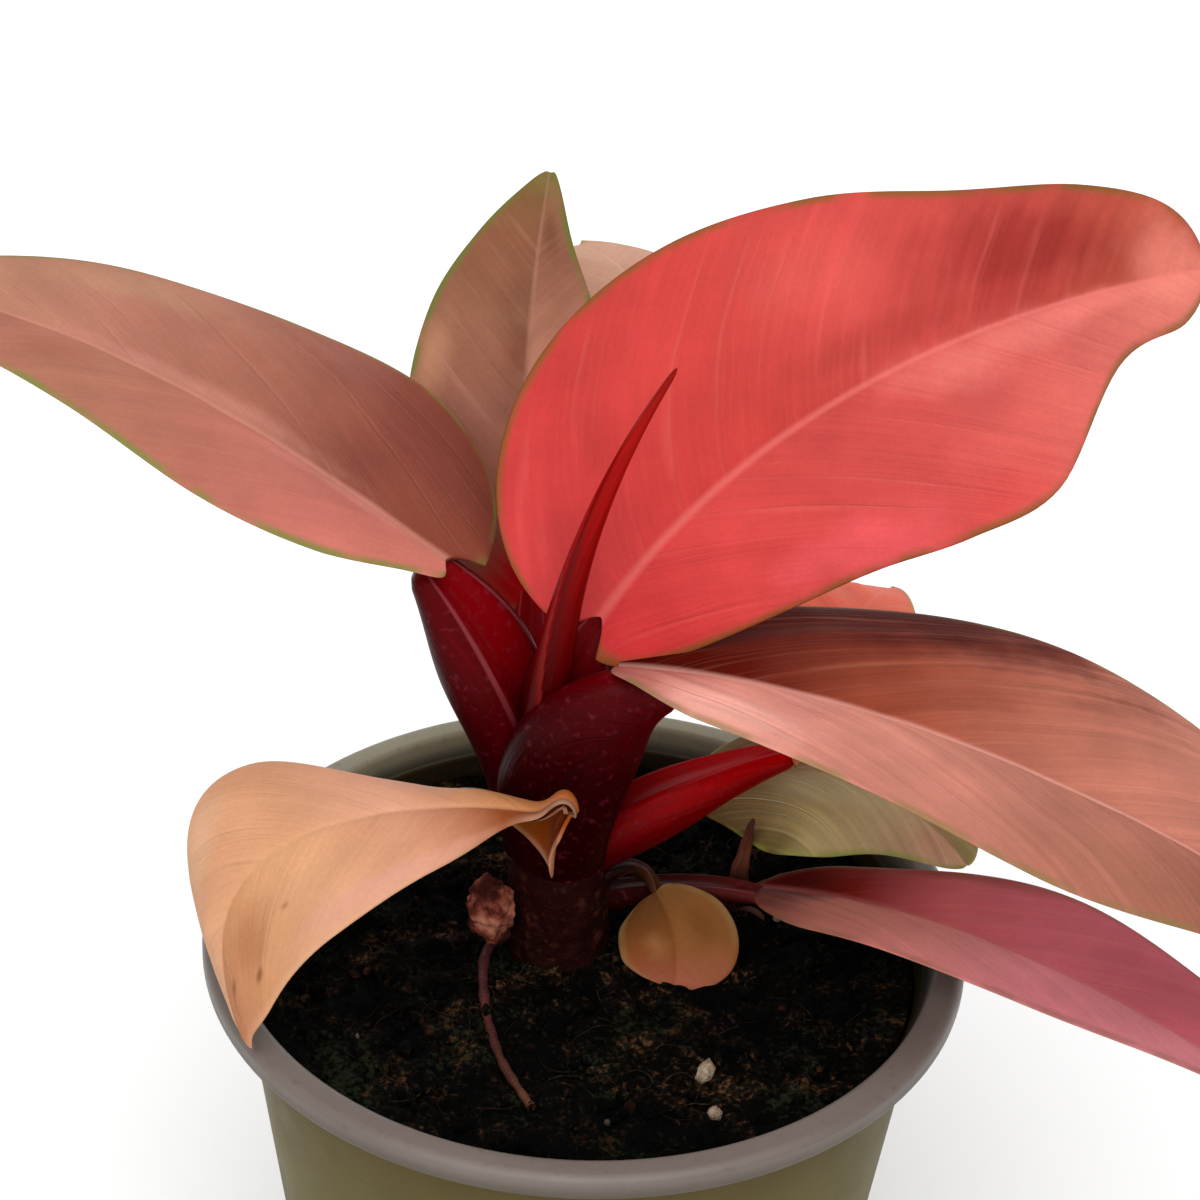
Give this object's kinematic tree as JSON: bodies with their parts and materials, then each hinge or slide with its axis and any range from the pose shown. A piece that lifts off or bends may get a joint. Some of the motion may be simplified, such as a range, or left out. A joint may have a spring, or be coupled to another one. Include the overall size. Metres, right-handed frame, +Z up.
{
  "type": "potted philodendron",
  "caption": "Young self-heading philodendron with red, salmon and olive leaves on thick dark stalks, standing in soil in a small round nursery pot.",
  "frame": {"origin": "middle of the pot's foot, on the surface the pot stands on", "axes": "+Z up, -Y towards the pictured front of the plant"},
  "size_m": [0.2068, 0.1324, 0.196],
  "materials": {
    "pot": "satin",
    "soil": "matte",
    "stem": "satin",
    "red_leaf": "satin",
    "salmon_leaf": "satin",
    "olive_leaf": "satin",
    "pale_leaf": "satin",
    "rose_leaf": "satin",
    "dry_sheath": "matte"
  },
  "bodies": {
    "root": {"pot": "pot", "soil": "soil", "stem": "stem", "leaf_red": "red_leaf", "leaf_left": "salmon_leaf", "leaf_right": "salmon_leaf", "leaf_behind_right": "salmon_leaf", "leaf_back": "olive_leaf", "leaf_rear": "pale_leaf", "leaf_green": "olive_leaf", "leaf_pink": "rose_leaf", "leaf_peach": "pale_leaf", "leaf_juvenile": "pale_leaf", "new_leaf": "stem", "dry_sheath": "dry_sheath"}
  },
  "joints": []
}
